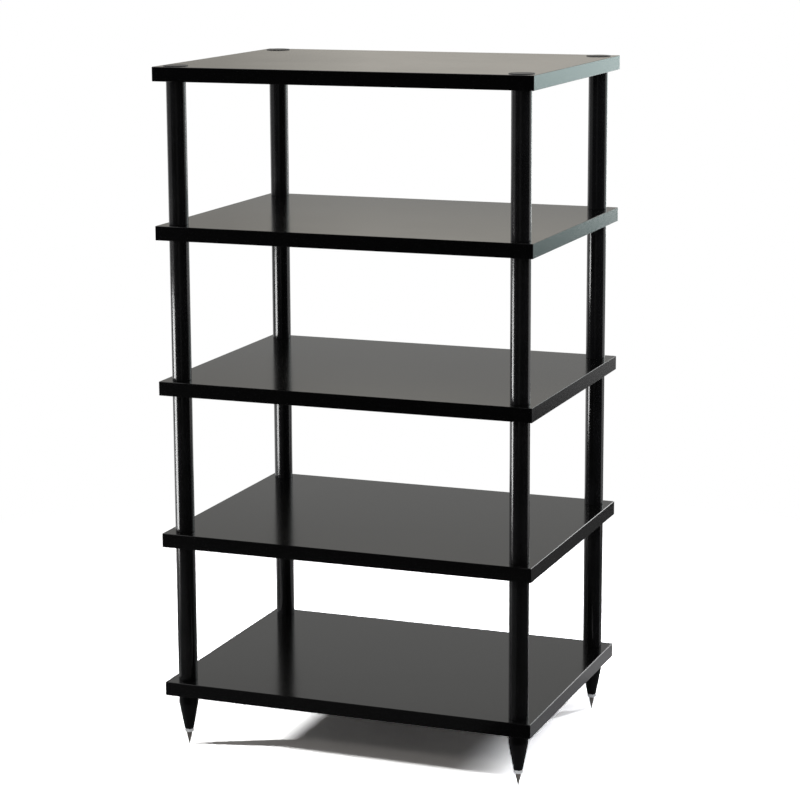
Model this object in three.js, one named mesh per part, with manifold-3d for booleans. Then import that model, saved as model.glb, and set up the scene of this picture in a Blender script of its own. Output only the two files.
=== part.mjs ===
// A free-standing audio equipment rack: laminated shelves stacked on round steel columns, standing on
// four tapered feet with levelling spikes. Lengths are in millimetres. The origin is on the floor
// under the middle of the rack. X runs to the right, Y to the back and Z up.
import * as THREE from "three";
import { mergeVertices } from "three/addons/utils/BufferGeometryUtils.js";
import Module from "manifold-3d";

// Shelves
const shelfCount = 5;
const shelfWidth = 600; // left to right, over the edge bands
const shelfDepth = 440; // front to back, over the edge bands
const boardThickness = 22;
const bandThickness = 1;
const boardHoleClearance = 0.5; // all round a stud

// Columns: a steel tube with a threaded plug welded into each end
const columnLength = 218; // the clear height between two shelves
const columnDiameter = 30;
const columnWall = 1.5;
const columnInset = 27; // from a column's axis to the shelf's edge, both ways
const plugLength = 12;

// Threaded joints, drawn at the outer diameter of the thread
const threadDiameter = 8;
const threadClearance = 0.3; // all round a stud, in a threaded hole
const studGrip = 11.5; // length of a stud inside each piece that it joins
const boreEndClearance = 1; // past the end of a stud or spike in a blind hole

// Cap bolts on the top shelf
const capDiameter = 38;
const capThickness = 1;

// Feet, with the lock nut and the spike that screws up into each
const footLength = 59;
const footStraightLength = 16.4; // the part as wide as a column, above the taper
const footEndDiameter = 14.4;
const footEndChamfer = 0.8;
const nutAcrossFlats = 13;
const nutHeight = 5;
const spikeGrip = 22; // length of the spike's thread inside the foot
const spikeShankLength = 4.9; // plain part that shows under the nut
const spikeTaperLength = 15.5;
const spikeTipDiameter = 1;
const spikeRetraction = 4; // how far the spike can be screwed further in

// Sides of the round solids
const columnSides = 24;
const threadSides = 12;

// Sizes that follow
const columnRadius = columnDiameter / 2;
const tubeBoreRadius = columnRadius - columnWall;
const threadRadius = threadDiameter / 2;
const threadedHoleRadius = threadRadius + threadClearance;
const boardHoleRadius = threadRadius + boardHoleClearance;
const boardWidth = shelfWidth - 2 * bandThickness;
const boardDepth = shelfDepth - 2 * bandThickness;
const columnX = shelfWidth / 2 - columnInset;
const columnY = shelfDepth / 2 - columnInset;
const spikeBoreDepth = spikeGrip + spikeRetraction + boreEndClearance;
const footStudBoreDepth = studGrip + boreEndClearance;
const studLength = boardThickness + 2 * studGrip;

// Vertices hold 32-bit numbers, so heights are stacked from sizes rounded to 32 bits. Two faces that
// meet then lie at one and the same height.
const stacked = (...sizes) => sizes.reduce((sum, size) => sum + Math.fround(size), 0);

const nutHeightAboveFloor = stacked(spikeTaperLength, spikeShankLength);
const footHeightAboveFloor = stacked(nutHeightAboveFloor, nutHeight);
const firstShelfHeight = stacked(footHeightAboveFloor, footLength);

// The underside of a shelf, counted from 0 at the lowest one.
const shelfHeight = (level) =>
  stacked(firstShelfHeight, ...Array(level).fill([boardThickness, columnLength]).flat());

// The top face of a shelf, where the columns above it stand.
const shelfTopHeight = (level) => stacked(shelfHeight(level), boardThickness);

const corners = [
  { name: "front_left", x: -columnX, y: -columnY },
  { name: "front_right", x: columnX, y: -columnY },
  { name: "back_left", x: -columnX, y: columnY },
  { name: "back_right", x: columnX, y: columnY },
];

const wasm = await Module();
wasm.setup();

function solidOf(geometry) {
  const bare = geometry.clone();
  bare.deleteAttribute("normal");
  bare.deleteAttribute("uv");
  const merged = mergeVertices(bare);
  return new wasm.Manifold(
    new wasm.Mesh({
      numProp: 3,
      vertProperties: merged.attributes.position.array,
      triVerts: new Uint32Array(merged.index.array),
    }),
  );
}

function geometryOf(solid) {
  const mesh = solid.getMesh();
  const geometry = new THREE.BufferGeometry();
  geometry.setAttribute("position", new THREE.BufferAttribute(mesh.vertProperties, 3));
  geometry.setIndex(new THREE.BufferAttribute(mesh.triVerts, 1));
  geometry.computeVertexNormals();
  return geometry;
}

// A solid turned about Z from an outline of [radius, height] points, which runs up its outside.
function turned(outline, sides) {
  const points = outline.map(([radius, height]) => new THREE.Vector2(radius, height));
  return new THREE.LatheGeometry(points, sides).rotateX(Math.PI / 2);
}

// A rectangle on the XY plane about a centre, as a shape or as a hole in one.
function rectangle(Outline, width, depth, centreY = 0) {
  return new Outline([
    new THREE.Vector2(-width / 2, centreY - depth / 2),
    new THREE.Vector2(width / 2, centreY - depth / 2),
    new THREE.Vector2(width / 2, centreY + depth / 2),
    new THREE.Vector2(-width / 2, centreY + depth / 2),
  ]);
}

// A ring of points as a closed outline, for round holes and the hexagon of a nut.
function polygon(Outline, radius, sides, centreX = 0, centreY = 0) {
  const points = Array.from({ length: sides }, (_, i) => {
    const angle = (2 * Math.PI * i) / sides;
    return new THREE.Vector2(
      centreX + radius * Math.cos(angle),
      centreY + radius * Math.sin(angle),
    );
  });
  return new Outline(points);
}

function extruded(shape, thickness) {
  return new THREE.ExtrudeGeometry(shape, { depth: thickness, bevelEnabled: false });
}

// A board is drilled only along its front and its back edge, so it is a plain middle panel with a
// strip that has two holes joined on at each side.
function boardGeometry() {
  const stripDepth = 2 * columnInset - bandThickness;
  const panelDepth = boardDepth - 2 * stripDepth;
  const panel = extruded(rectangle(THREE.Shape, boardWidth, panelDepth), boardThickness);
  const stripCentreY = (panelDepth + stripDepth) / 2;
  const strips = [-1, 1].map((side) => {
    const strip = rectangle(THREE.Shape, boardWidth, stripDepth, side * stripCentreY);
    strip.holes = [-columnX, columnX].map((x) =>
      polygon(THREE.Path, boardHoleRadius, threadSides, x, side * columnY),
    );
    return solidOf(extruded(strip, boardThickness));
  });
  return geometryOf(strips.reduce((board, strip) => board.add(strip), solidOf(panel)));
}

function edgeBandGeometry() {
  const band = rectangle(THREE.Shape, shelfWidth, shelfDepth);
  band.holes = [rectangle(THREE.Path, boardWidth, boardDepth)];
  return extruded(band, boardThickness);
}

function columnGeometry() {
  const upperPlug = columnLength - plugLength;
  return turned(
    [
      [threadedHoleRadius, 0],
      [columnRadius, 0],
      [columnRadius, columnLength],
      [threadedHoleRadius, columnLength],
      [threadedHoleRadius, upperPlug],
      [tubeBoreRadius, upperPlug],
      [tubeBoreRadius, plugLength],
      [threadedHoleRadius, plugLength],
      [threadedHoleRadius, 0],
    ],
    columnSides,
  );
}

function studGeometry() {
  return turned(
    [
      [0, 0],
      [threadRadius, 0],
      [threadRadius, studLength],
      [0, studLength],
    ],
    threadSides,
  );
}

// The disc lies on the top shelf at height 0, and its shank reaches down into the column.
function capBoltGeometry() {
  const shankEnd = -(boardThickness + studGrip);
  return turned(
    [
      [0, shankEnd],
      [threadRadius, shankEnd],
      [threadRadius, 0],
      [capDiameter / 2, 0],
      [capDiameter / 2, capThickness],
      [0, capThickness],
    ],
    columnSides,
  );
}

// The taper ends at height 0. The spike's blind hole opens there and the stud's hole at the top.
function footGeometry() {
  const taperTop = footLength - footStraightLength;
  const studBoreEnd = footLength - footStudBoreDepth;
  return turned(
    [
      [0, spikeBoreDepth],
      [threadedHoleRadius, spikeBoreDepth],
      [threadedHoleRadius, 0],
      [footEndDiameter / 2 - footEndChamfer, 0],
      [footEndDiameter / 2, footEndChamfer],
      [columnRadius, taperTop],
      [columnRadius, footLength],
      [threadedHoleRadius, footLength],
      [threadedHoleRadius, studBoreEnd],
      [0, studBoreEnd],
    ],
    columnSides,
  );
}

function lockNutGeometry() {
  const cornerRadius = nutAcrossFlats / 2 / Math.cos(Math.PI / 6);
  const hexagon = polygon(THREE.Shape, cornerRadius, 6);
  hexagon.holes = [polygon(THREE.Path, threadedHoleRadius, threadSides)];
  return extruded(hexagon, nutHeight);
}

// The point is at height 0.
function spikeGeometry() {
  const spikeLength = spikeTaperLength + spikeShankLength + nutHeight + spikeGrip;
  return turned(
    [
      [0, 0],
      [spikeTipDiameter / 2, 0],
      [threadRadius, spikeTaperLength],
      [threadRadius, spikeLength],
      [0, spikeLength],
    ],
    threadSides,
  );
}

const finishes = {
  laminate: { color: 0x1b1b1c, roughness: 0.45, metalness: 0 },
  edgeBand: { color: 0x141415, roughness: 0.4, metalness: 0 },
  paintedSteel: { color: 0x0e0e10, roughness: 0.35, metalness: 0 },
  studSteel: { color: 0x8f9194, roughness: 0.45, metalness: 1 },
  zincPlate: { color: 0xd6d8da, roughness: 0.25, metalness: 1 },
  turnedSteel: { color: 0x9b978f, roughness: 0.3, metalness: 1 },
};

function addPiece(group, name, geometry, finish, x, y, z) {
  const mesh = new THREE.Mesh(geometry, new THREE.MeshStandardMaterial(finish));
  mesh.name = name;
  mesh.position.set(x, y, z);
  group.add(mesh);
}

function addShelf(rack, level) {
  const shelf = new THREE.Group();
  shelf.position.z = shelfHeight(level);
  addPiece(shelf, `shelf_${level + 1}`, boardGeometry(), finishes.laminate, 0, 0, 0);
  addPiece(shelf, `edge_band_${level + 1}`, edgeBandGeometry(), finishes.edgeBand, 0, 0, 0);
  rack.add(shelf);
}

function addColumns(rack, level) {
  const z = shelfTopHeight(level);
  for (const { name, x, y } of corners) {
    const node = `column_${level + 1}_${name}`;
    addPiece(rack, node, columnGeometry(), finishes.paintedSteel, x, y, z);
  }
}

// Studs through a shelf, from the column above it down into the column or foot below.
function addStuds(rack, level, prefix) {
  const z = shelfHeight(level) - studGrip;
  for (const { name, x, y } of corners) {
    addPiece(rack, `${prefix}_${name}`, studGeometry(), finishes.studSteel, x, y, z);
  }
}

function addCapBolts(rack) {
  const z = shelfTopHeight(shelfCount - 1);
  for (const { name, x, y } of corners) {
    addPiece(rack, `cap_bolt_${name}`, capBoltGeometry(), finishes.paintedSteel, x, y, z);
  }
}

function addFeet(rack) {
  for (const { name, x, y } of corners) {
    const corner = new THREE.Group();
    corner.position.set(x, y, 0);
    const footZ = footHeightAboveFloor;
    addPiece(corner, `foot_${name}`, footGeometry(), finishes.paintedSteel, 0, 0, footZ);
    const nutZ = nutHeightAboveFloor;
    addPiece(corner, `lock_nut_${name}`, lockNutGeometry(), finishes.zincPlate, 0, 0, nutZ);
    addPiece(corner, `spike_${name}`, spikeGeometry(), finishes.turnedSteel, 0, 0, 0);
    rack.add(corner);
  }
}

const rack = new THREE.Group();
addFeet(rack);
for (let level = 0; level < shelfCount; level++) {
  addShelf(rack, level);
  if (level === 0) {
    addStuds(rack, level, "foot_stud");
  } else if (level < shelfCount - 1) {
    addStuds(rack, level, `joining_stud_${level + 1}`);
  }
  if (level < shelfCount - 1) {
    addColumns(rack, level);
  }
}
addCapBolts(rack);

export default rack;
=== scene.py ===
"""Looks of a five-tier audio rack: black boards, black columns and feet, bright nuts and steel spikes."""

import math

import bpy
import numpy as np
from mathutils import Matrix, Vector


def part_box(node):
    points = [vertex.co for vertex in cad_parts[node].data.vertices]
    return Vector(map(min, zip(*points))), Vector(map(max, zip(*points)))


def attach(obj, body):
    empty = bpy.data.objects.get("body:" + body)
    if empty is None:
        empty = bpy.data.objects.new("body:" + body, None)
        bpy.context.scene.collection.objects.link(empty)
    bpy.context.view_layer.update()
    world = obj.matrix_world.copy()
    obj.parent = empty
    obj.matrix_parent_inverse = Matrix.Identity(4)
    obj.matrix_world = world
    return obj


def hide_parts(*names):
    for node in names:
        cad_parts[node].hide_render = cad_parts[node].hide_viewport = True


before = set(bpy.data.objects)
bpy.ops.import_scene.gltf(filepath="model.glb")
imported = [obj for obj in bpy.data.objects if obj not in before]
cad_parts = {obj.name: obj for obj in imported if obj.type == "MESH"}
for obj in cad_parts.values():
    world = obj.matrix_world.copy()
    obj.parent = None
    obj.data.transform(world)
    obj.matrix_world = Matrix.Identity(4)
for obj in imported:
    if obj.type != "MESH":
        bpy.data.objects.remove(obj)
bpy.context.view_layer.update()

MM = 0.001
FULL_TURN = 2 * math.pi

# The rack's layout
TIERS = 5
CORNERS = ("front_left", "front_right", "back_left", "back_right")

# Edge band of a board
BAND_THICKNESS = 1.0 * MM
BAND_BEVEL_WIDTH = 0.85 * MM
BAND_BEVEL_HEIGHT = 0.5 * MM
BAND_BEVEL_EASE = 0.12 * MM
CORNER_STATIONS = 6
STRAIGHT_RUN_IN = 0.3 * MM

# Columns
TUBE_WALL = 1.5 * MM
TUBE_END_EASE = 0.6 * MM
PLUG_LENGTH = 12.0 * MM
THREADED_HOLE_RADIUS = 4.15 * MM
COLUMN_SIDES = 96

# Cap bolts
CAP_THICKNESS = 1.0 * MM
CAP_RIM_EASE = 0.9 * MM
CAP_SHANK_RADIUS = 4.0 * MM
CAP_SHANK_CHAMFER = 0.7 * MM
CAP_SIDES = 128

# Feet
FOOT_STRAIGHT_LENGTH = 16.4 * MM
FOOT_END_RADIUS = 7.2 * MM
FOOT_END_CHAMFER = 0.8 * MM
FOOT_SHOULDER_EASE = 1.5 * MM
FOOT_TOP_EASE = 0.6 * MM
STUD_BORE_DEPTH = 12.5 * MM
SPIKE_BORE_DEPTH = 27.0 * MM
FOOT_SIDES = 96

# Lock nuts
NUT_HALF_FLATS = 6.5 * MM
NUT_FACE_SHARE = 0.95
NUT_CHAMFER_SLOPE = 0.577
NUT_HOLE_CHAMFER = 0.45 * MM
NUT_SIDES = 6
STEPS_PER_FLAT = 16

# Spikes
SPIKE_RADIUS = 4.0 * MM
SPIKE_TIP_RADIUS = 0.5 * MM
SPIKE_TIP_EASE = 0.2 * MM
SPIKE_TAPER_LENGTH = 15.5 * MM
SPIKE_SHANK_LENGTH = 4.9 * MM
SPIKE_END_CHAMFER = 0.8 * MM
THREAD_PITCH = 1.25 * MM
THREAD_DEPTH = 0.7 * MM
ROWS_PER_TURN = 10
SPIKE_SIDES = 64

# Surfaces
SHARP_ANGLE = math.radians(32)
EASE_STEPS = 6
SHOULDER = 0.06 * MM
SAME_POINT = 0.001 * MM
ON_THE_AXIS = 1e-9

# Noise in the finishes, whose values seldom leave the span from low to high
NOISE_LOW = 0.3
NOISE_HIGH = 0.7
DARK_TONE_UP_TO = 0.35
LIGHT_TONE_FROM = 0.65

# Camera of the photograph
CAMERA_PLACE = (1.39358, -3.62847, 1.33486)
CAMERA_AZIMUTH = math.radians(21.4144)
CAMERA_ELEVATION = math.radians(11.0701)
CAMERA_ROLL = math.radians(-0.3469)
CAMERA_LENS = 113.521
CAMERA_SENSOR = 36.0
CAMERA_SHIFT_RIGHT = 0.0308
CAMERA_SHIFT_UP = -0.03

# Light that fills the room
FILL_COLOUR = (1.0, 0.95, 0.91)
FILL_STRENGTH = 0.062

# Floor, which is lit near the rack and plain white further out
FLOOR_REACH = 8.0
FLOOR_LIT_UP_TO = 0.7
FLOOR_WHITE_FROM = 1.6
FLOOR_TONE = 0.80
FLOOR_TONE_SEEN = 4.0

# Studio round the rack
NEUTRAL = (1.0, 1.0, 1.0)
CLOTH_LIFT = 2 * MM
ROOM_LEFT = -2.6
ROOM_RIGHT = 2.8
ROOM_FRONT = -2.4
FRONT_WALL_HEIGHT = 2.4
SIDE_WALL_HEIGHT = 2.0
FRONT_WALL_JOINT = 0.2
LEFT_WALL_END = 0.6
RIGHT_WALL_END = 1.3

# Bright panel and its slats
PANEL_START = (-0.88, -0.69)
PANEL_END = (-1.22, -0.36)
PANEL_LOW = 0.12
PANEL_HIGH = 0.58
PANEL_STRENGTH = 16.5
SLATS = 14
SLAT_DEPTH = 0.14
LOWEST_SLAT_SLOPE = 0.25
HIGHEST_SLAT_SLOPE = 0.155

# Cards behind the rack
GREY_CARD_LINE = 2.2
GREY_CARD_END = 0.3
GREY_CARD_JOINT = 1.14
GREY_CARD_TOP = 2.2
COOL_CARD_LINE = 1.5
COOL_CARD_START = 0.55
COOL_CARD_END = 1.2
COOL_CARD_JOINT = 0.44
COOL_CARD_TOP = 1.5
STRIP_LINE = 1.49
STRIP_START = 0.38
STRIP_LOW = 0.60
STRIP_HIGH = 1.15
STRIP_END_START = 0.28
STRIP_END_LOW = 1.0
STRIP_END_HIGH = 1.3

# Lamps
LAMP_TARGET = (0.0, -0.15, 0.0)
WARM = (1.0, 0.93, 0.86)
COOL = (0.96, 0.97, 1.0)


def eased_outline(corners, eases):
    """An outline through corners, each rounded by its ease.

    A rounding starts one ease before its corner and ends one ease after it. With s running from 0 to 1, a
    point of it is the start times (1 - s) squared, plus the corner times 2 s (1 - s), plus the end times s
    squared, which leaves both sides smoothly. One more point a shoulder's width before the start, and one
    after the end, keep the flats beside the rounding evenly shaded. A point that lies on the one before it is
    left out."""
    corners = np.asarray(corners, float)
    eases = np.asarray(eases, float)[:, None]
    into = corners - np.roll(corners, 1, axis=0)
    into /= np.linalg.norm(into, axis=1, keepdims=True)
    out = np.roll(into, -1, axis=0)
    shoulder = np.where(eases > 0, SHOULDER, 0.0)
    s = np.linspace(0.0, 1.0, EASE_STEPS + 1)[None, :, None]
    start = corners - eases * into
    end = corners + eases * out
    rounding = start[:, None] * (1 - s) ** 2 + 2 * corners[:, None] * s * (1 - s) + end[:, None] * s ** 2
    before = (start - shoulder * into)[:, None]
    after = (end + shoulder * out)[:, None]
    line = np.concatenate([before, rounding, after], axis=1).reshape(-1, 2)
    apart = np.linalg.norm(line - np.roll(line, 1, axis=0), axis=1) > SAME_POINT
    return line[apart]


def turned(outline, centre, sides):
    """An outline of radius and height, turned about the upright axis through centre.

    A point lies its radius times the cosine of the angle to the right of the axis, its radius times the
    sine of the angle behind the axis, and at its own height."""
    angle = np.arange(sides) * (FULL_TURN / sides)
    radius = outline[:, :1]
    x = centre[0] + radius * np.cos(angle)
    y = centre[1] + radius * np.sin(angle)
    z = outline[:, 1:] + 0 * angle
    return np.stack([x, y, z], axis=-1)


def carried_round(outline, low, high):
    """An outline of outward reach and height, carried round the rectangle from low to high.

    It swings a quarter turn about each corner of the rectangle. A point lies the reach times the cosine of
    the outward angle to the right of that corner, and the reach times the sine behind it. The first and the
    last place of a swing each have a twin a short run away along the side, which is the run times minus the
    sine to the right and the run times the cosine behind. So the side is flat right up to the corner."""
    quarter = FULL_TURN / 4
    swing = np.linspace(0.0, quarter, CORNER_STATIONS + 1)
    swing = np.concatenate([[0.0], swing, [quarter]])
    run = np.zeros_like(swing)
    run[0] = -STRAIGHT_RUN_IN
    run[-1] = STRAIGHT_RUN_IN
    first = np.array([-quarter, 0.0, quarter, 2 * quarter])[:, None]
    angle = (first + swing).ravel()
    run = np.tile(run, len(first))
    corner_x = np.array([high[0], high[0], low[0], low[0]]).repeat(len(swing))
    corner_y = np.array([low[1], high[1], high[1], low[1]]).repeat(len(swing))
    reach = outline[:, :1]
    x = corner_x + reach * np.cos(angle) - run * np.sin(angle)
    y = corner_y + reach * np.sin(angle) + run * np.cos(angle)
    z = outline[:, 1:] + 0 * angle
    return np.stack([x, y, z], axis=-1)


def net_mesh(name, net):
    """A closed mesh from a net of points, where net[i, j] is row i at step j round the piece.

    A face joins two points that lie side by side to the two above them. The steps close on themselves. The
    rows do too, unless they start and end on the axis, where a whole row becomes one point in a fan of
    triangles."""
    steps = net.shape[1]
    on_axis = np.ptp(net[0], axis=0).max() < ON_THE_AXIS and np.ptp(net[-1], axis=0).max() < ON_THE_AXIS
    rings = net[1:-1] if on_axis else net
    index = np.arange(rings.shape[0] * steps).reshape(-1, steps)
    beside = np.roll(index, -1, axis=1)
    if on_axis:
        below, above = index[:-1], index[1:]
        below_beside, above_beside = beside[:-1], beside[1:]
    else:
        below, above = index, np.roll(index, -1, axis=0)
        below_beside, above_beside = beside, np.roll(beside, -1, axis=0)
    faces = np.stack([below, below_beside, above_beside, above], axis=-1).reshape(-1, 4).tolist()
    points = rings.reshape(-1, 3)
    if on_axis:
        start = len(points)
        points = np.concatenate([points, net[0, :1], net[-1, :1]])
        first = np.stack([np.full(steps, start), beside[0], index[0]], axis=-1)
        last = np.stack([index[-1], beside[-1], np.full(steps, start + 1)], axis=-1)
        faces += first.tolist() + last.tolist()
    mesh = bpy.data.meshes.new(name)
    mesh.from_pydata(points.tolist(), [], faces)
    mesh.polygons.foreach_set("use_smooth", np.ones(len(mesh.polygons), bool))
    mesh.set_sharp_from_angle(angle=SHARP_ANGLE)
    mesh.update()
    return mesh


def add_piece(name, net, finish, body, node):
    """Puts a net in the scene as one piece, which rides on a body, takes its finish from a slot and stands
    for a node."""
    piece = bpy.data.objects.new(name, net_mesh(name, net))
    bpy.context.scene.collection.objects.link(piece)
    piece.data.materials.append(finish)
    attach(piece, body)
    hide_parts(node)


def place_of(node):
    """Centre of a round node's axis, then its lowest height, highest height and radius."""
    low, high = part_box(node)
    centre = ((low.x + high.x) / 2, (low.y + high.y) / 2)
    return centre, low.z, high.z, (high.x - low.x) / 2


def add_edge_band(tier, finish):
    """The band round a board's four edges, with a low bevel trimmed along both its outer arrises."""
    node = f"edge_band_{tier}"
    low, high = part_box(node)
    inner_low = low + Vector((BAND_THICKNESS, BAND_THICKNESS, 0))
    inner_high = high - Vector((BAND_THICKNESS, BAND_THICKNESS, 0))
    bevel_start = BAND_THICKNESS - BAND_BEVEL_WIDTH
    outline = eased_outline(
        [
            (0, low.z), (bevel_start, low.z), (BAND_THICKNESS, low.z + BAND_BEVEL_HEIGHT),
            (BAND_THICKNESS, high.z - BAND_BEVEL_HEIGHT), (bevel_start, high.z), (0, high.z),
        ],
        [0, BAND_BEVEL_EASE, BAND_BEVEL_EASE, BAND_BEVEL_EASE, BAND_BEVEL_EASE, 0],
    )
    net = carried_round(outline, inner_low, inner_high)
    add_piece(f"shelf_{tier}_edging", net, finish, "rack", node)


def add_column(level, corner, finish):
    """A tube with eased ends and a threaded plug in each end, as one turned outline."""
    node = f"column_{level}_{corner}"
    centre, low, high, radius = place_of(node)
    inner = radius - TUBE_WALL
    hole = THREADED_HOLE_RADIUS
    outline = eased_outline(
        [
            (hole, low), (radius, low), (radius, high), (hole, high),
            (hole, high - PLUG_LENGTH), (inner, high - PLUG_LENGTH),
            (inner, low + PLUG_LENGTH), (hole, low + PLUG_LENGTH),
        ],
        [0, TUBE_END_EASE, TUBE_END_EASE, 0, 0, 0, 0, 0],
    )
    net = turned(outline, centre, COLUMN_SIDES)
    add_piece(f"tube_{level}_{corner}", net, finish, "rack", node)


def add_cap_bolt(corner, finish):
    """A thin disc with an eased rim, on the plain outline of its shank."""
    node = f"cap_bolt_{corner}"
    centre, low, high, radius = place_of(node)
    shank = CAP_SHANK_RADIUS
    seat = high - CAP_THICKNESS
    outline = eased_outline(
        [
            (0, low), (shank - CAP_SHANK_CHAMFER, low), (shank, low + CAP_SHANK_CHAMFER), (shank, seat),
            (radius, seat), (radius, high), (0, high),
        ],
        [0, 0, 0, 0, 0, CAP_RIM_EASE, 0],
    )
    net = turned(outline, centre, CAP_SIDES)
    add_piece(f"cap_{corner}", net, finish, "rack", node)


def add_foot(corner, finish):
    """A straight collar that tapers to a chamfered end, bored for the stud above and the spike below."""
    node = f"foot_{corner}"
    centre, low, high, radius = place_of(node)
    hole = THREADED_HOLE_RADIUS
    end = FOOT_END_RADIUS
    outline = eased_outline(
        [
            (0, low + SPIKE_BORE_DEPTH), (hole, low + SPIKE_BORE_DEPTH), (hole, low),
            (end - FOOT_END_CHAMFER, low), (end, low + FOOT_END_CHAMFER),
            (radius, high - FOOT_STRAIGHT_LENGTH), (radius, high),
            (hole, high), (hole, high - STUD_BORE_DEPTH), (0, high - STUD_BORE_DEPTH),
        ],
        [0, 0, 0, 0, 0, FOOT_SHOULDER_EASE, FOOT_TOP_EASE, 0, 0, 0],
    )
    net = turned(outline, centre, FOOT_SIDES)
    add_piece(f"foot_{corner}_turned", net, finish, "rack", node)


def add_lock_nut(corner, finish):
    """A hexagon with both faces chamfered by a cone, so that each flat ends in an arc.

    The hexagon's radius is half the width across flats, divided by the cosine of the angle from the middle
    of the flat. A face ends where the cone starts, at a share of the hexagon's greatest radius. Further out
    the surface falls away from the face by the distance past that radius times the chamfer's slope."""
    node = f"lock_nut_{corner}"
    centre, low, high, _ = place_of(node)
    steps = NUT_SIDES * STEPS_PER_FLAT
    angle = np.arange(steps) * (FULL_TURN / steps)
    flat_angle = FULL_TURN / NUT_SIDES
    from_middle = (angle + flat_angle / 2) % flat_angle - flat_angle / 2
    hexagon = NUT_HALF_FLATS / np.cos(from_middle)
    face = NUT_FACE_SHARE * NUT_HALF_FLATS / math.cos(flat_angle / 2)
    fall = np.maximum(hexagon - face, 0.0) * NUT_CHAMFER_SLOPE
    rim = np.minimum(hexagon, face)
    hole = THREADED_HOLE_RADIUS + 0 * angle
    mouth = hole + NUT_HOLE_CHAMFER
    radius = np.stack([hole, mouth, rim, hexagon, hexagon, rim, mouth, hole])
    height = np.stack([
        low + NUT_HOLE_CHAMFER + 0 * angle, low + 0 * angle, low + 0 * angle, low + fall,
        high - fall, high + 0 * angle, high + 0 * angle, high - NUT_HOLE_CHAMFER + 0 * angle,
    ])
    turn = angle + flat_angle / 2
    net = np.stack([centre[0] + radius * np.cos(turn), centre[1] + radius * np.sin(turn), height], axis=-1)
    add_piece(f"nut_{corner}", net, finish, f"lock_nut_{corner}", node)


def add_spike(corner, finish):
    """A point, a plain shank and a thread.

    A place on the thread is the fraction part of its height over the pitch less its angle over a full turn.
    The radius there is the spike's radius less the thread's depth times the difference between one and twice
    that fraction. The depth grows from nothing over the first turn."""
    node = f"spike_{corner}"
    centre, low, high, _ = place_of(node)
    radius = SPIKE_RADIUS
    shank_start = low + SPIKE_TAPER_LENGTH
    shank_end = low + SPIKE_TAPER_LENGTH + SPIKE_SHANK_LENGTH
    point = eased_outline(
        [(0, low), (SPIKE_TIP_RADIUS, low), (radius, shank_start), (radius, shank_end), (0, shank_end)],
        [0, SPIKE_TIP_EASE, SPIKE_TIP_EASE, 0, 0],
    )[:-1]
    thread_rows = round((high - shank_end - SPIKE_END_CHAMFER) / THREAD_PITCH * ROWS_PER_TURN)
    heights = np.linspace(shank_end, high - SPIKE_END_CHAMFER, thread_rows + 1)[1:]
    threaded = np.stack([np.full_like(heights, radius), heights], axis=-1)
    end = np.array([(radius - SPIKE_END_CHAMFER, high), (0, high)])
    outline = np.concatenate([point, threaded, end])
    angle = np.arange(SPIKE_SIDES) * (FULL_TURN / SPIKE_SIDES)
    height = outline[:, 1:] + 0 * angle
    fraction = (height / THREAD_PITCH - angle / FULL_TURN) % 1.0
    on_thread = (height > shank_end) & (height < high - SPIKE_END_CHAMFER / 2)
    share = np.clip((height - shank_end) / THREAD_PITCH, 0.0, 1.0) * on_thread
    turned_radius = outline[:, :1] - THREAD_DEPTH * share * np.abs(2 * fraction - 1)
    x = centre[0] + turned_radius * np.cos(angle)
    y = centre[1] + turned_radius * np.sin(angle)
    net = np.stack([x, y, height], axis=-1)
    add_piece(f"spike_{corner}_point", net, finish, f"spike_{corner}", node)


def new_finish(name, colour, roughness, metallic=0.0):
    """A material whose shader has these plain values, with its node tree, its shader and the piece's own
    coordinates."""
    material = bpy.data.materials.new(name)
    material.use_nodes = True
    tree = material.node_tree
    shader = tree.nodes["Principled BSDF"]
    shader.inputs["Base Color"].default_value = (*colour, 1.0)
    shader.inputs["Roughness"].default_value = roughness
    shader.inputs["Metallic"].default_value = metallic
    place = tree.nodes.new("ShaderNodeTexCoord")
    return material, tree, shader, place.outputs["Object"]


def grain(tree, place, cells, stretch=(1.0, 1.0, 1.0), detail=3.0):
    """Noise of so many cells a metre, squeezed along x, y and z by stretch."""
    mapping = tree.nodes.new("ShaderNodeMapping")
    mapping.inputs["Scale"].default_value = stretch
    noise = tree.nodes.new("ShaderNodeTexNoise")
    noise.inputs["Scale"].default_value = cells
    noise.inputs["Detail"].default_value = detail
    tree.links.new(place, mapping.inputs["Vector"])
    tree.links.new(mapping.outputs["Vector"], noise.inputs["Vector"])
    return noise.outputs["Fac"]


def tone(tree, shader, value, dark, light):
    """The shader's colour, between dark and light by a noise value."""
    ramp = tree.nodes.new("ShaderNodeValToRGB")
    ramp.color_ramp.elements[0].position = DARK_TONE_UP_TO
    ramp.color_ramp.elements[0].color = (*dark, 1.0)
    ramp.color_ramp.elements[1].position = LIGHT_TONE_FROM
    ramp.color_ramp.elements[1].color = (*light, 1.0)
    tree.links.new(value, ramp.inputs["Fac"])
    tree.links.new(ramp.outputs["Color"], shader.inputs["Base Color"])


def sheen(tree, shader, value, smooth, rough):
    """The shader's roughness, from smooth to rough over the usual span of a noise value."""
    node = tree.nodes.new("ShaderNodeMapRange")
    node.inputs["From Min"].default_value = NOISE_LOW
    node.inputs["From Max"].default_value = NOISE_HIGH
    node.inputs["To Min"].default_value = smooth
    node.inputs["To Max"].default_value = rough
    tree.links.new(value, node.inputs["Value"])
    tree.links.new(node.outputs["Result"], shader.inputs["Roughness"])


def relief(tree, shader, value, height):
    """Bumps of this height in metres, from a noise value, on the shader's normal."""
    bump = tree.nodes.new("ShaderNodeBump")
    bump.inputs["Distance"].default_value = height
    tree.links.new(value, bump.inputs["Height"])
    tree.links.new(bump.outputs["Normal"], shader.inputs["Normal"])


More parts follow.
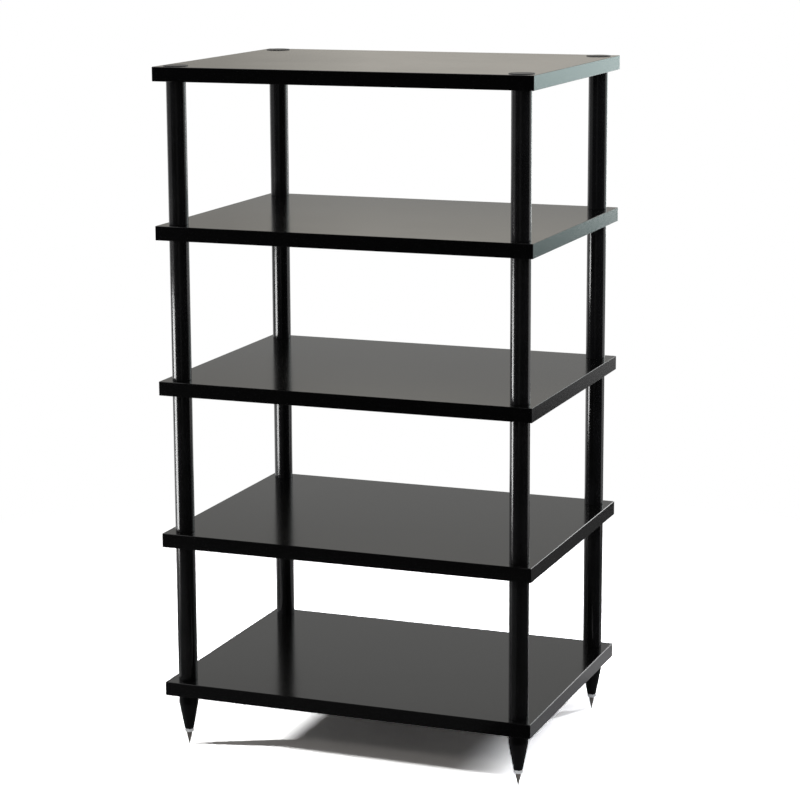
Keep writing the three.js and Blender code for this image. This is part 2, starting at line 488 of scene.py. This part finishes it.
def laminate_finish():
    """Satin black laminate: a fine pearl in the surface and faint clouds in its sheen."""
    finish, tree, shader, place = new_finish("satin_black_laminate", (0.003, 0.003, 0.003), roughness=0.15)
    pearl = grain(tree, place, cells=900.0)
    clouds = grain(tree, place, cells=7.0)
    tone(tree, shader, pearl, dark=(0.002, 0.002, 0.002), light=(0.004, 0.004, 0.004))
    sheen(tree, shader, clouds, smooth=0.13, rough=0.155)
    relief(tree, shader, pearl, height=0.0015 * MM)
    return finish


def edge_band_finish():
    """Black edging with a fine grain along its length."""
    finish, tree, shader, place = new_finish("black_edging", (0.001, 0.001, 0.0012), roughness=0.20)
    lines = grain(tree, place, cells=60.0, stretch=(1.0, 1.0, 22.0))
    pearl = grain(tree, place, cells=1100.0)
    tone(tree, shader, pearl, dark=(0.0008, 0.0008, 0.0010), light=(0.0020, 0.0020, 0.0022))
    sheen(tree, shader, lines, smooth=0.15, rough=0.19)
    relief(tree, shader, lines, height=0.002 * MM)
    return finish


def paint_finish(name, colour, smooth, rough, peel_cells, gloss=0.5):
    """Baked black paint with a slight orange peel, and faint clouds in its colour and sheen."""
    lightening = 1.5
    finish, tree, shader, place = new_finish(name, colour, smooth)
    shader.inputs["Specular IOR Level"].default_value = gloss
    peel = grain(tree, place, peel_cells, detail=1.0)
    clouds = grain(tree, place, cells=18.0)
    tone(tree, shader, clouds, dark=colour, light=tuple(lightening * c for c in colour))
    sheen(tree, shader, clouds, smooth, rough)
    relief(tree, shader, peel, height=0.0006 * MM)
    return finish


def zinc_finish():
    """Bright zinc plating, slightly cloudy."""
    finish, tree, shader, place = new_finish("bright_zinc", (0.80, 0.81, 0.83), roughness=0.22, metallic=1.0)
    clouds = grain(tree, place, cells=400.0)
    tone(tree, shader, clouds, dark=(0.93, 0.94, 0.96), light=(0.98, 0.99, 1.0))
    sheen(tree, shader, clouds, smooth=0.12, rough=0.22)
    relief(tree, shader, grain(tree, place, cells=1500.0), height=0.004 * MM)
    return finish


def turned_steel_finish():
    """Steel turned on a lathe: fine rings round the piece."""
    finish, tree, shader, place = new_finish(
        "turned_steel", (0.20, 0.185, 0.17), roughness=0.28, metallic=1.0,
    )
    shader.inputs["Specular Tint"].default_value = (0.45, 0.43, 0.41, 1.0)
    rings = grain(tree, place, cells=40.0, stretch=(1.0, 1.0, 110.0))
    tone(tree, shader, rings, dark=(0.16, 0.145, 0.13), light=(0.27, 0.25, 0.235))
    sheen(tree, shader, rings, smooth=0.24, rough=0.34)
    relief(tree, shader, rings, height=0.01 * MM)
    return finish


def stud_finish():
    """Zinc-plated threaded rod: the thread is a wave of the pitch along the height, in the bumps and in the
    colour. The grooves are painted darker than the crests: painted shade in the grooves.
    """
    radians_at_scale_one = 20
    finish, tree, shader, place = new_finish(
        "threaded_steel", (0.55, 0.55, 0.55), roughness=0.35, metallic=1.0,
    )
    wave = tree.nodes.new("ShaderNodeTexWave")
    wave.bands_direction = "Z"
    wave.inputs["Scale"].default_value = FULL_TURN / (radians_at_scale_one * THREAD_PITCH)
    tree.links.new(place, wave.inputs["Vector"])
    thread = wave.outputs["Fac"]
    # Painted shade: the thread's grooves take the dark tone and its crests the light one.
    tone(tree, shader, thread, dark=(0.40, 0.40, 0.41), light=(0.62, 0.62, 0.63))
    sheen(tree, shader, grain(tree, place, cells=300.0), smooth=0.30, rough=0.42)
    relief(tree, shader, thread, height=0.3 * MM)
    return finish


def dress_node(node, finish):
    """A CAD node keeps its shape and gets this finish."""
    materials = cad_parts[node].data.materials
    materials.clear()
    materials.append(finish)


def dress_the_rack():
    """Every board, band, column, cap, foot, nut, spike and stud in its finish."""
    laminate = laminate_finish()
    edging = edge_band_finish()
    column_paint = paint_finish(
        "black_column_paint", (0.0065, 0.0065, 0.007), smooth=0.16, rough=0.19, peel_cells=260.0,
    )
    cap_paint = paint_finish(
        "black_cap_paint", (0.010, 0.010, 0.010), smooth=0.42, rough=0.50, peel_cells=400.0,
    )
    foot_paint = paint_finish(
        "black_foot_paint", (0.0015, 0.0015, 0.0018), smooth=0.32, rough=0.38, peel_cells=320.0, gloss=0.1,
    )
    zinc = zinc_finish()
    steel = turned_steel_finish()
    threaded = stud_finish()
    for tier in range(1, TIERS + 1):
        dress_node(f"shelf_{tier}", laminate)
        add_edge_band(tier, edging)
    for corner in CORNERS:
        for level in range(1, TIERS):
            add_column(level, corner, column_paint)
        for tier in range(2, TIERS):
            dress_node(f"joining_stud_{tier}_{corner}", threaded)
        dress_node(f"foot_stud_{corner}", threaded)
        add_cap_bolt(corner, cap_paint)
        add_foot(corner, foot_paint)
        add_lock_nut(corner, zinc)
        add_spike(corner, steel)


def add_camera():
    """The camera of the photograph: where it stands, how it is turned, and its lens."""
    forward = Vector((
        -math.sin(CAMERA_AZIMUTH) * math.cos(CAMERA_ELEVATION),
        math.cos(CAMERA_AZIMUTH) * math.cos(CAMERA_ELEVATION),
        -math.sin(CAMERA_ELEVATION),
    ))
    level_right = forward.cross(Vector((0, 0, 1))).normalized()
    level_up = level_right.cross(forward)
    right = math.cos(CAMERA_ROLL) * level_right + math.sin(CAMERA_ROLL) * level_up
    up = math.cos(CAMERA_ROLL) * level_up - math.sin(CAMERA_ROLL) * level_right
    data = bpy.data.cameras.new("camera")
    data.lens = CAMERA_LENS
    data.sensor_width = CAMERA_SENSOR
    data.shift_x = CAMERA_SHIFT_RIGHT
    data.shift_y = CAMERA_SHIFT_UP
    camera = bpy.data.objects.new("camera", data)
    bpy.context.scene.collection.objects.link(camera)
    turn = Matrix((right, up, -forward)).transposed()
    camera.matrix_world = Matrix.Translation(CAMERA_PLACE) @ turn.to_4x4()
    bpy.context.scene.camera = camera


def seen_directly(tree):
    """1 on camera, glossy and transmission rays, 0 on the rest."""
    path = tree.nodes.new("ShaderNodeLightPath")
    either = tree.nodes.new("ShaderNodeMath")
    either.operation = "MAXIMUM"
    tree.links.new(path.outputs["Is Camera Ray"], either.inputs[0])
    tree.links.new(path.outputs["Is Glossy Ray"], either.inputs[1])
    seen = tree.nodes.new("ShaderNodeMath")
    seen.operation = "MAXIMUM"
    tree.links.new(either.outputs[0], seen.inputs[0])
    tree.links.new(path.outputs["Is Transmission Ray"], seen.inputs[1])
    return seen.outputs[0]


def mixed(tree, share, first, second):
    """A shader that goes over from the first to the second as share goes from 0 to 1."""
    mix = tree.nodes.new("ShaderNodeMixShader")
    tree.links.new(share, mix.inputs["Fac"])
    tree.links.new(first, mix.inputs[1])
    tree.links.new(second, mix.inputs[2])
    return mix.outputs[0]


def fill_the_room():
    """A white surrounding to look at, which gives the rack a dimmer, even fill."""
    world = bpy.data.worlds.new("studio")
    world.use_nodes = True
    tree = world.node_tree
    tree.nodes.clear()
    fill = tree.nodes.new("ShaderNodeBackground")
    fill.inputs["Color"].default_value = (*FILL_COLOUR, 1.0)
    fill.inputs["Strength"].default_value = FILL_STRENGTH
    white = tree.nodes.new("ShaderNodeBackground")
    white.inputs["Color"].default_value = (*NEUTRAL, 1.0)
    white.inputs["Strength"].default_value = 1.0
    output = tree.nodes.new("ShaderNodeOutputWorld")
    surroundings = mixed(tree, seen_directly(tree), fill.outputs[0], white.outputs[0])
    tree.links.new(surroundings, output.inputs["Surface"])
    bpy.context.scene.world = world


def bare_material(name):
    """A material with an empty node tree, and that tree."""
    material = bpy.data.materials.new(name)
    material.use_nodes = True
    material.node_tree.nodes.clear()
    return material, material.node_tree


def floor_material():
    """White floor that takes the rack's shadow, and goes over into the plain white of the background further
    out. Its lit part is lighter to the camera than to the rack above it."""
    material, tree = bare_material("white_floor")
    place = tree.nodes.new("ShaderNodeTexCoord")
    distance = tree.nodes.new("ShaderNodeVectorMath")
    distance.operation = "LENGTH"
    tree.links.new(place.outputs["Object"], distance.inputs[0])
    far = tree.nodes.new("ShaderNodeMapRange")
    far.interpolation_type = "SMOOTHSTEP"
    far.inputs["From Min"].default_value = FLOOR_LIT_UP_TO
    far.inputs["From Max"].default_value = FLOOR_WHITE_FROM
    tree.links.new(distance.outputs["Value"], far.inputs["Value"])
    plain = tree.nodes.new("ShaderNodeMath")
    plain.operation = "MULTIPLY"
    tree.links.new(far.outputs["Result"], plain.inputs[0])
    tree.links.new(seen_directly(tree), plain.inputs[1])
    path = tree.nodes.new("ShaderNodeLightPath")
    colour = tree.nodes.new("ShaderNodeMix")
    colour.data_type = "RGBA"
    colour.clamp_result = False
    colour.inputs["A"].default_value = (FLOOR_TONE, FLOOR_TONE, FLOOR_TONE, 1.0)
    colour.inputs["B"].default_value = (FLOOR_TONE_SEEN, FLOOR_TONE_SEEN, FLOOR_TONE_SEEN, 1.0)
    tree.links.new(path.outputs["Is Camera Ray"], colour.inputs["Factor"])
    lit = tree.nodes.new("ShaderNodeBsdfDiffuse")
    tree.links.new(colour.outputs["Result"], lit.inputs["Color"])
    white = tree.nodes.new("ShaderNodeEmission")
    output = tree.nodes.new("ShaderNodeOutputMaterial")
    surface = mixed(tree, plain.outputs[0], lit.outputs[0], white.outputs[0])
    tree.links.new(surface, output.inputs["Surface"])
    return material


def glow_material(name, strength, colour=NEUTRAL):
    """An even tone, whatever light falls on it."""
    material, tree = bare_material(name)
    glow = tree.nodes.new("ShaderNodeEmission")
    glow.inputs["Color"].default_value = (*colour, 1.0)
    glow.inputs["Strength"].default_value = strength
    output = tree.nodes.new("ShaderNodeOutputMaterial")
    tree.links.new(glow.outputs[0], output.inputs["Surface"])
    return material


def graded_glow(name, axis, span, strengths, colour=NEUTRAL):
    """A tone that goes over from the first strength to the second across a span of one axis of the studio."""
    material = glow_material(name, strengths[0], colour)
    tree = material.node_tree
    place = tree.nodes.new("ShaderNodeTexCoord")
    parts = tree.nodes.new("ShaderNodeSeparateXYZ")
    tree.links.new(place.outputs["Object"], parts.inputs[0])
    grade = tree.nodes.new("ShaderNodeMapRange")
    grade.inputs["From Min"].default_value, grade.inputs["From Max"].default_value = span
    grade.inputs["To Min"].default_value, grade.inputs["To Max"].default_value = strengths
    tree.links.new(parts.outputs[axis], grade.inputs["Value"])
    tree.links.new(grade.outputs["Result"], tree.nodes["Emission"].inputs["Strength"])
    return material


def add_sheet(name, corners, material):
    """A flat four-cornered sheet of the studio."""
    mesh = bpy.data.meshes.new(name)
    mesh.from_pydata([tuple(c) for c in corners], [], [(0, 1, 2, 3)])
    mesh.materials.append(material)
    sheet = bpy.data.objects.new(name, mesh)
    bpy.context.scene.collection.objects.link(sheet)
    return sheet


def add_mirrored(name, corners, material):
    """A sheet of the studio that shows in the rack's sheen alone."""
    sheet = add_sheet(name, corners, material)
    sheet.visible_camera = False
    sheet.visible_diffuse = False
    sheet.visible_shadow = False
    sheet.visible_transmission = False
    sheet.visible_volume_scatter = False


def upright(start, end, low, high):
    """Corners of an upright sheet over the floor line from start to end."""
    return [(*start, low), (*end, low), (*end, high), (*start, high)]


def flat(height, *places):
    """Corners of a level sheet at this height."""
    return [(*place, height) for place in places]


def flat_rectangle(height, low, high):
    """Corners of a level rectangle at this height, between its front left and its back right corner."""
    return flat(height, low, (high[0], low[1]), high, (low[0], high[1]))


def add_floor():
    """The floor that the rack stands on."""
    reach = FLOOR_REACH
    add_sheet("floor", flat_rectangle(0.0, (-reach, -reach), (reach, reach)), floor_material())


def add_cloths(dark):
    """Cloths just above the floor: dark ones in front of the rack and on its right, a charcoal one behind it
    on the right, and slate ones on the left, one over the dark cloth and one beside the rack."""
    charcoal = glow_material("charcoal_cloth", strength=0.10)
    slate = glow_material("slate_cloth", strength=0.08)
    before_left_foot = (-0.5, -0.31)
    before_right_foot = (0.45, -0.31)
    beside_back_foot = (0.45, 0.3)
    room_left = (ROOM_LEFT, ROOM_FRONT)
    room_right = (ROOM_RIGHT, ROOM_FRONT)
    right_wall_end = (ROOM_RIGHT, RIGHT_WALL_END)
    front = flat(CLOTH_LIFT, before_left_foot, room_left, room_right, before_right_foot)
    right = flat(CLOTH_LIFT, before_right_foot, room_right, right_wall_end, beside_back_foot)
    back_right = flat_rectangle(CLOTH_LIFT, (0.3, 0.62), (COOL_CARD_END, COOL_CARD_LINE))
    front_left = flat_rectangle(2 * CLOTH_LIFT, (-0.95, -1.3), (0.15, -0.35))
    left = flat(2 * CLOTH_LIFT, (-0.65, -0.12), (-0.65, 0.15), (-1.85, -0.15), (-1.85, -0.70))
    add_mirrored("cloth_front", front, dark)
    add_mirrored("cloth_right", right, dark)
    add_mirrored("cloth_back_right", back_right, charcoal)
    add_mirrored("cloth_front_left", front_left, slate)
    add_mirrored("cloth_left", left, slate)


def add_walls(dark):
    """A front wall that is dark on the left and graded on the right, a dark wall on the right and a dim one
    on the left."""
    graded = graded_glow("front_wall", "X", span=(0.5, 1.3), strengths=(0.12, 0.02))
    dim = glow_material("dim_wall", strength=0.35)
    room_left = (ROOM_LEFT, ROOM_FRONT)
    front_joint = (FRONT_WALL_JOINT, ROOM_FRONT)
    room_right = (ROOM_RIGHT, ROOM_FRONT)
    right_wall_end = (ROOM_RIGHT, RIGHT_WALL_END)
    left_wall_end = (ROOM_LEFT, LEFT_WALL_END)
    add_mirrored("wall_front_left", upright(room_left, front_joint, 0.0, FRONT_WALL_HEIGHT), dark)
    add_mirrored("wall_front_right", upright(front_joint, room_right, 0.0, FRONT_WALL_HEIGHT), graded)
    add_mirrored("wall_right", upright(room_right, right_wall_end, 0.0, SIDE_WALL_HEIGHT), dark)
    add_mirrored("wall_left", upright(room_left, left_wall_end, 0.0, SIDE_WALL_HEIGHT), dim)


def add_slats(dark):
    """Thin slats across the side of the bright panel that faces the rack. Each rises away from the panel as
    steeply as the lines of sight that the columns send down to it, so that the columns' sheen shows the
    panel, and the boards' sheen, which looks up to it, shows the slats."""
    start = np.array(PANEL_START)
    end = np.array(PANEL_END)
    along = end - start
    outward = np.array([along[1], -along[0]]) / np.linalg.norm(along)
    edge_start = start + outward * SLAT_DEPTH
    edge_end = end + outward * SLAT_DEPTH
    heights = np.linspace(PANEL_LOW, PANEL_HIGH, SLATS)
    slopes = np.linspace(LOWEST_SLAT_SLOPE, HIGHEST_SLAT_SLOPE, SLATS)
    for number, (height, slope) in enumerate(zip(heights, slopes), 1):
        raised = height + slope * SLAT_DEPTH
        corners = [(*start, height), (*end, height), (*edge_end, raised), (*edge_start, raised)]
        add_mirrored(f"slat_{number}", corners, dark)


def add_cards():
    """Cards behind the rack: a grey one in two parts on the left, and on the right a plain one with a cool
    one over it. A white strip stands at the cool card's left edge, and a dimmer one beside that."""
    lower = graded_glow(
        "grey_card_lower", "Z", span=(0.90, 1.12), strengths=(0.425, 0.36), colour=(1.0, 1.0, 0.98),
    )
    upper = graded_glow(
        "grey_card_upper", "X", span=(-1.3, -0.9), strengths=(0.42, 0.63), colour=(1.0, 0.955, 0.86),
    )
    plain = graded_glow("plain_card", "Z", span=(0.14, 0.44), strengths=(0.02, 0.42))
    cool = graded_glow("cool_card", "Z", span=(0.44, 1.14), strengths=(0.28, 2.5), colour=(0.80, 1.0, 0.98))
    white = graded_glow("white_strip", "Z", span=(0.8, 1.15), strengths=(7.0, 2.5))
    dimmer = glow_material("strip_end", strength=1.6)
    grey_start = (ROOM_LEFT, GREY_CARD_LINE)
    grey_end = (GREY_CARD_END, GREY_CARD_LINE)
    cool_start = (COOL_CARD_START, COOL_CARD_LINE)
    cool_end = (COOL_CARD_END, COOL_CARD_LINE)
    strip_from = (STRIP_START, STRIP_LINE)
    strip_to = (COOL_CARD_START, STRIP_LINE)
    dimmer_from = (STRIP_END_START, STRIP_LINE)
    add_mirrored("grey_card_lower", upright(grey_start, grey_end, 0.0, GREY_CARD_JOINT), lower)
    add_mirrored("grey_card_upper", upright(grey_start, grey_end, GREY_CARD_JOINT, GREY_CARD_TOP), upper)
    add_mirrored("plain_card", upright(cool_start, cool_end, 0.0, COOL_CARD_JOINT), plain)
    add_mirrored("cool_card", upright(cool_start, cool_end, COOL_CARD_JOINT, COOL_CARD_TOP), cool)
    add_mirrored("white_strip", upright(strip_from, strip_to, STRIP_LOW, STRIP_HIGH), white)
    add_mirrored("strip_end", upright(dimmer_from, strip_from, STRIP_END_LOW, STRIP_END_HIGH), dimmer)


def add_studio():
    """The floor, and round the rack what its sheen shows: cloths, walls, a bright panel on the left and cards
    behind."""
    add_floor()
    dark = glow_material("dark_cloth", strength=0.015)
    bright = glow_material("bright_panel", strength=PANEL_STRENGTH)
    add_cloths(dark)
    add_walls(dark)
    add_mirrored("bright_panel", upright(PANEL_START, PANEL_END, PANEL_LOW, PANEL_HIGH), bright)
    add_slats(dark)
    add_cards()


def add_lamp(name, place, width, height, watts, colour):
    """A soft rectangular lamp at place that faces the rack's foot. The sheets round the rack take its part
    in the sheen."""
    data = bpy.data.lights.new(name, "AREA")
    data.shape = "RECTANGLE"
    data.size = width
    data.size_y = height
    data.energy = watts
    data.color = colour
    lamp = bpy.data.objects.new(name, data)
    lamp.location = place
    lamp.rotation_euler = (Vector(LAMP_TARGET) - Vector(place)).to_track_quat("-Z", "Y").to_euler()
    lamp.visible_glossy = False
    bpy.context.scene.collection.objects.link(lamp)


def add_lamps():
    """A small lamp on the left, a weak warm one in front, and two cool ones on the right, one of them further
    back."""
    add_lamp("lamp_left", (-2.34, -0.97, 1.14), width=0.08, height=0.2, watts=48.0, colour=NEUTRAL)
    add_lamp("lamp_front", (0.2, -2.3, 1.65), width=0.25, height=0.25, watts=1.2, colour=WARM)
    add_lamp("lamp_right", (1.35, 0.1, 1.5), width=1.5, height=1.5, watts=13.5, colour=COOL)
    add_lamp("lamp_back_right", (1.24, 1.34, 0.95), width=0.2, height=0.6, watts=8.5, colour=COOL)


dress_the_rack()
add_camera()
fill_the_room()
add_studio()
add_lamps()
bpy.context.scene.view_settings.view_transform = "Standard"
